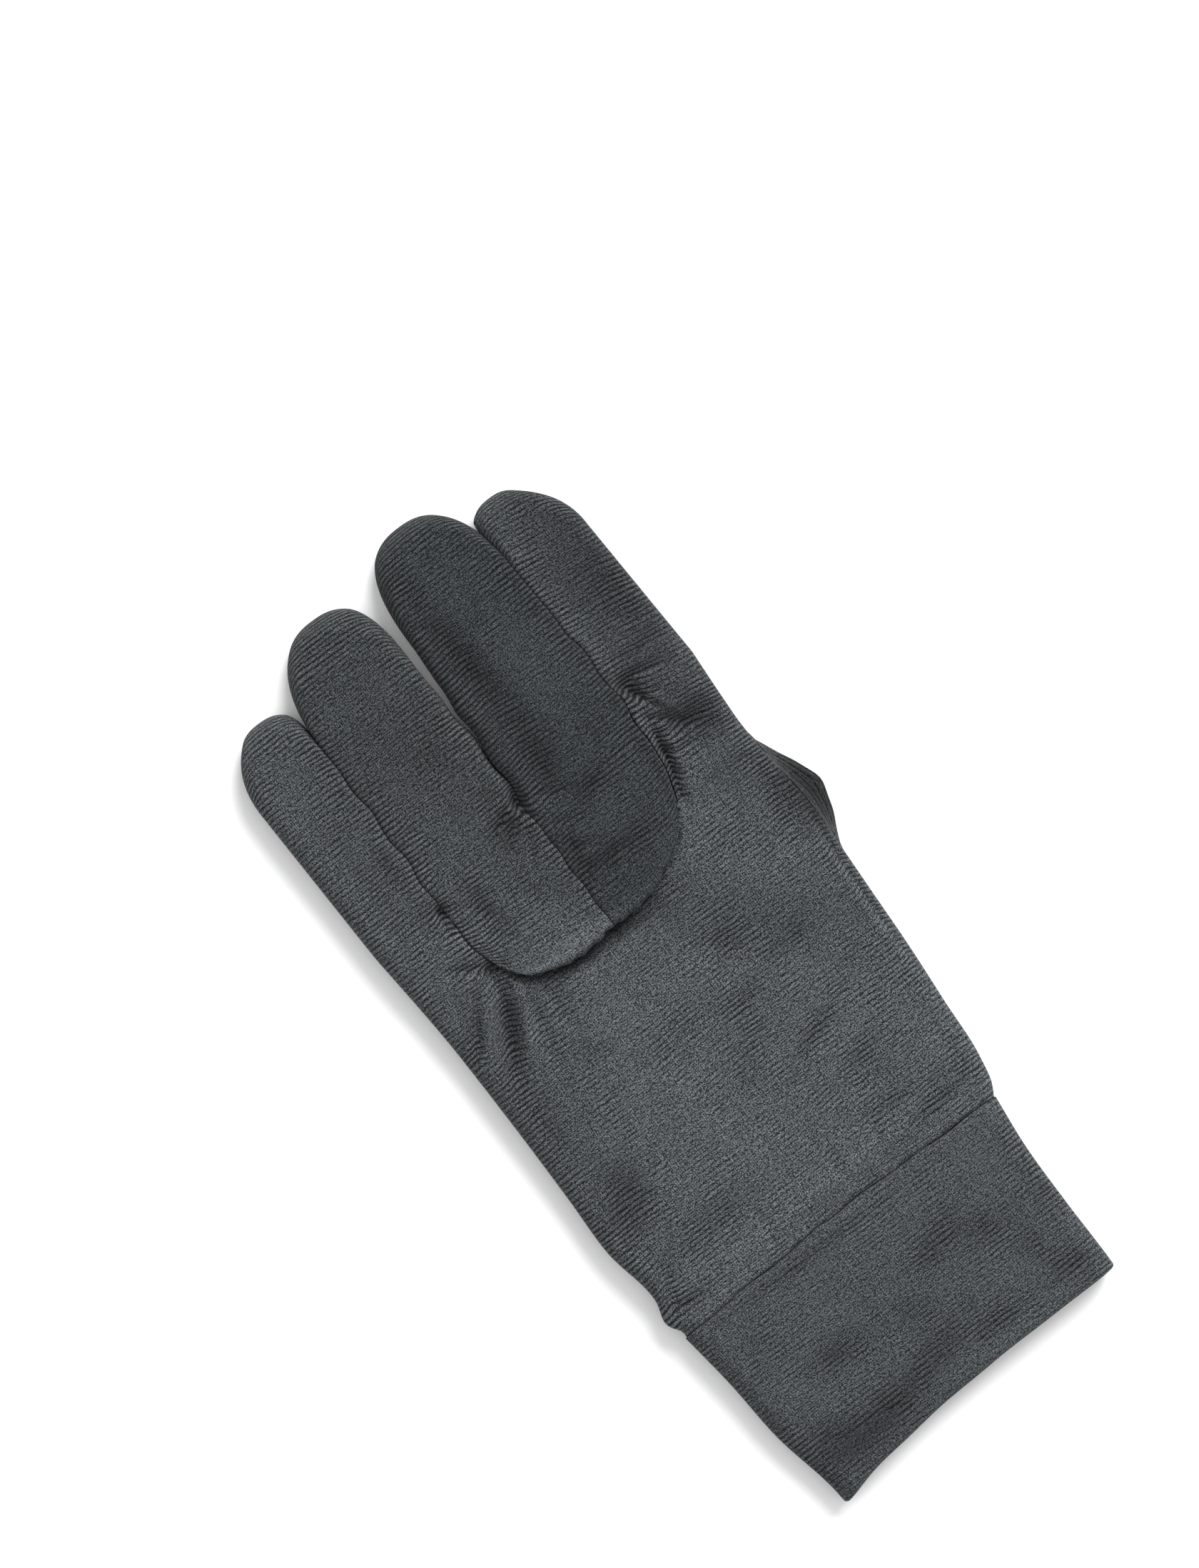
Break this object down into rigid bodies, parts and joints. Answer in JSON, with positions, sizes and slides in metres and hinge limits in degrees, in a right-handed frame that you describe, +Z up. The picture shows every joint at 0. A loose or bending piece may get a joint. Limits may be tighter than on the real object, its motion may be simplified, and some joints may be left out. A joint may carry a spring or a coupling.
{
  "type": "glove liner",
  "caption": "Thin knitted glove liner lying flat, palm up, with a U seam under the middle fingers, a folded cuff and its thumb tucked under.",
  "frame": {"origin": "on the surface the glove lies on, under the middle of its outline", "axes": "+Y to the fingertips, +X to the thumb side, +Z up, out of the palm"},
  "size_m": [0.1168, 0.2624, 0.0131],
  "materials": {
    "jersey": "fine charcoal knit, matt",
    "finger_jersey": "fine charcoal knit, matt, a shade darker",
    "cuff_jersey": "fine charcoal knit, matt, folded double"
  },
  "bodies": {
    "root": {"hand_back": "jersey", "palm": "jersey", "ring_front": "finger_jersey", "middle_front": "finger_jersey", "thumb": "jersey", "cuff": "cuff_jersey"}
  },
  "joints": []
}
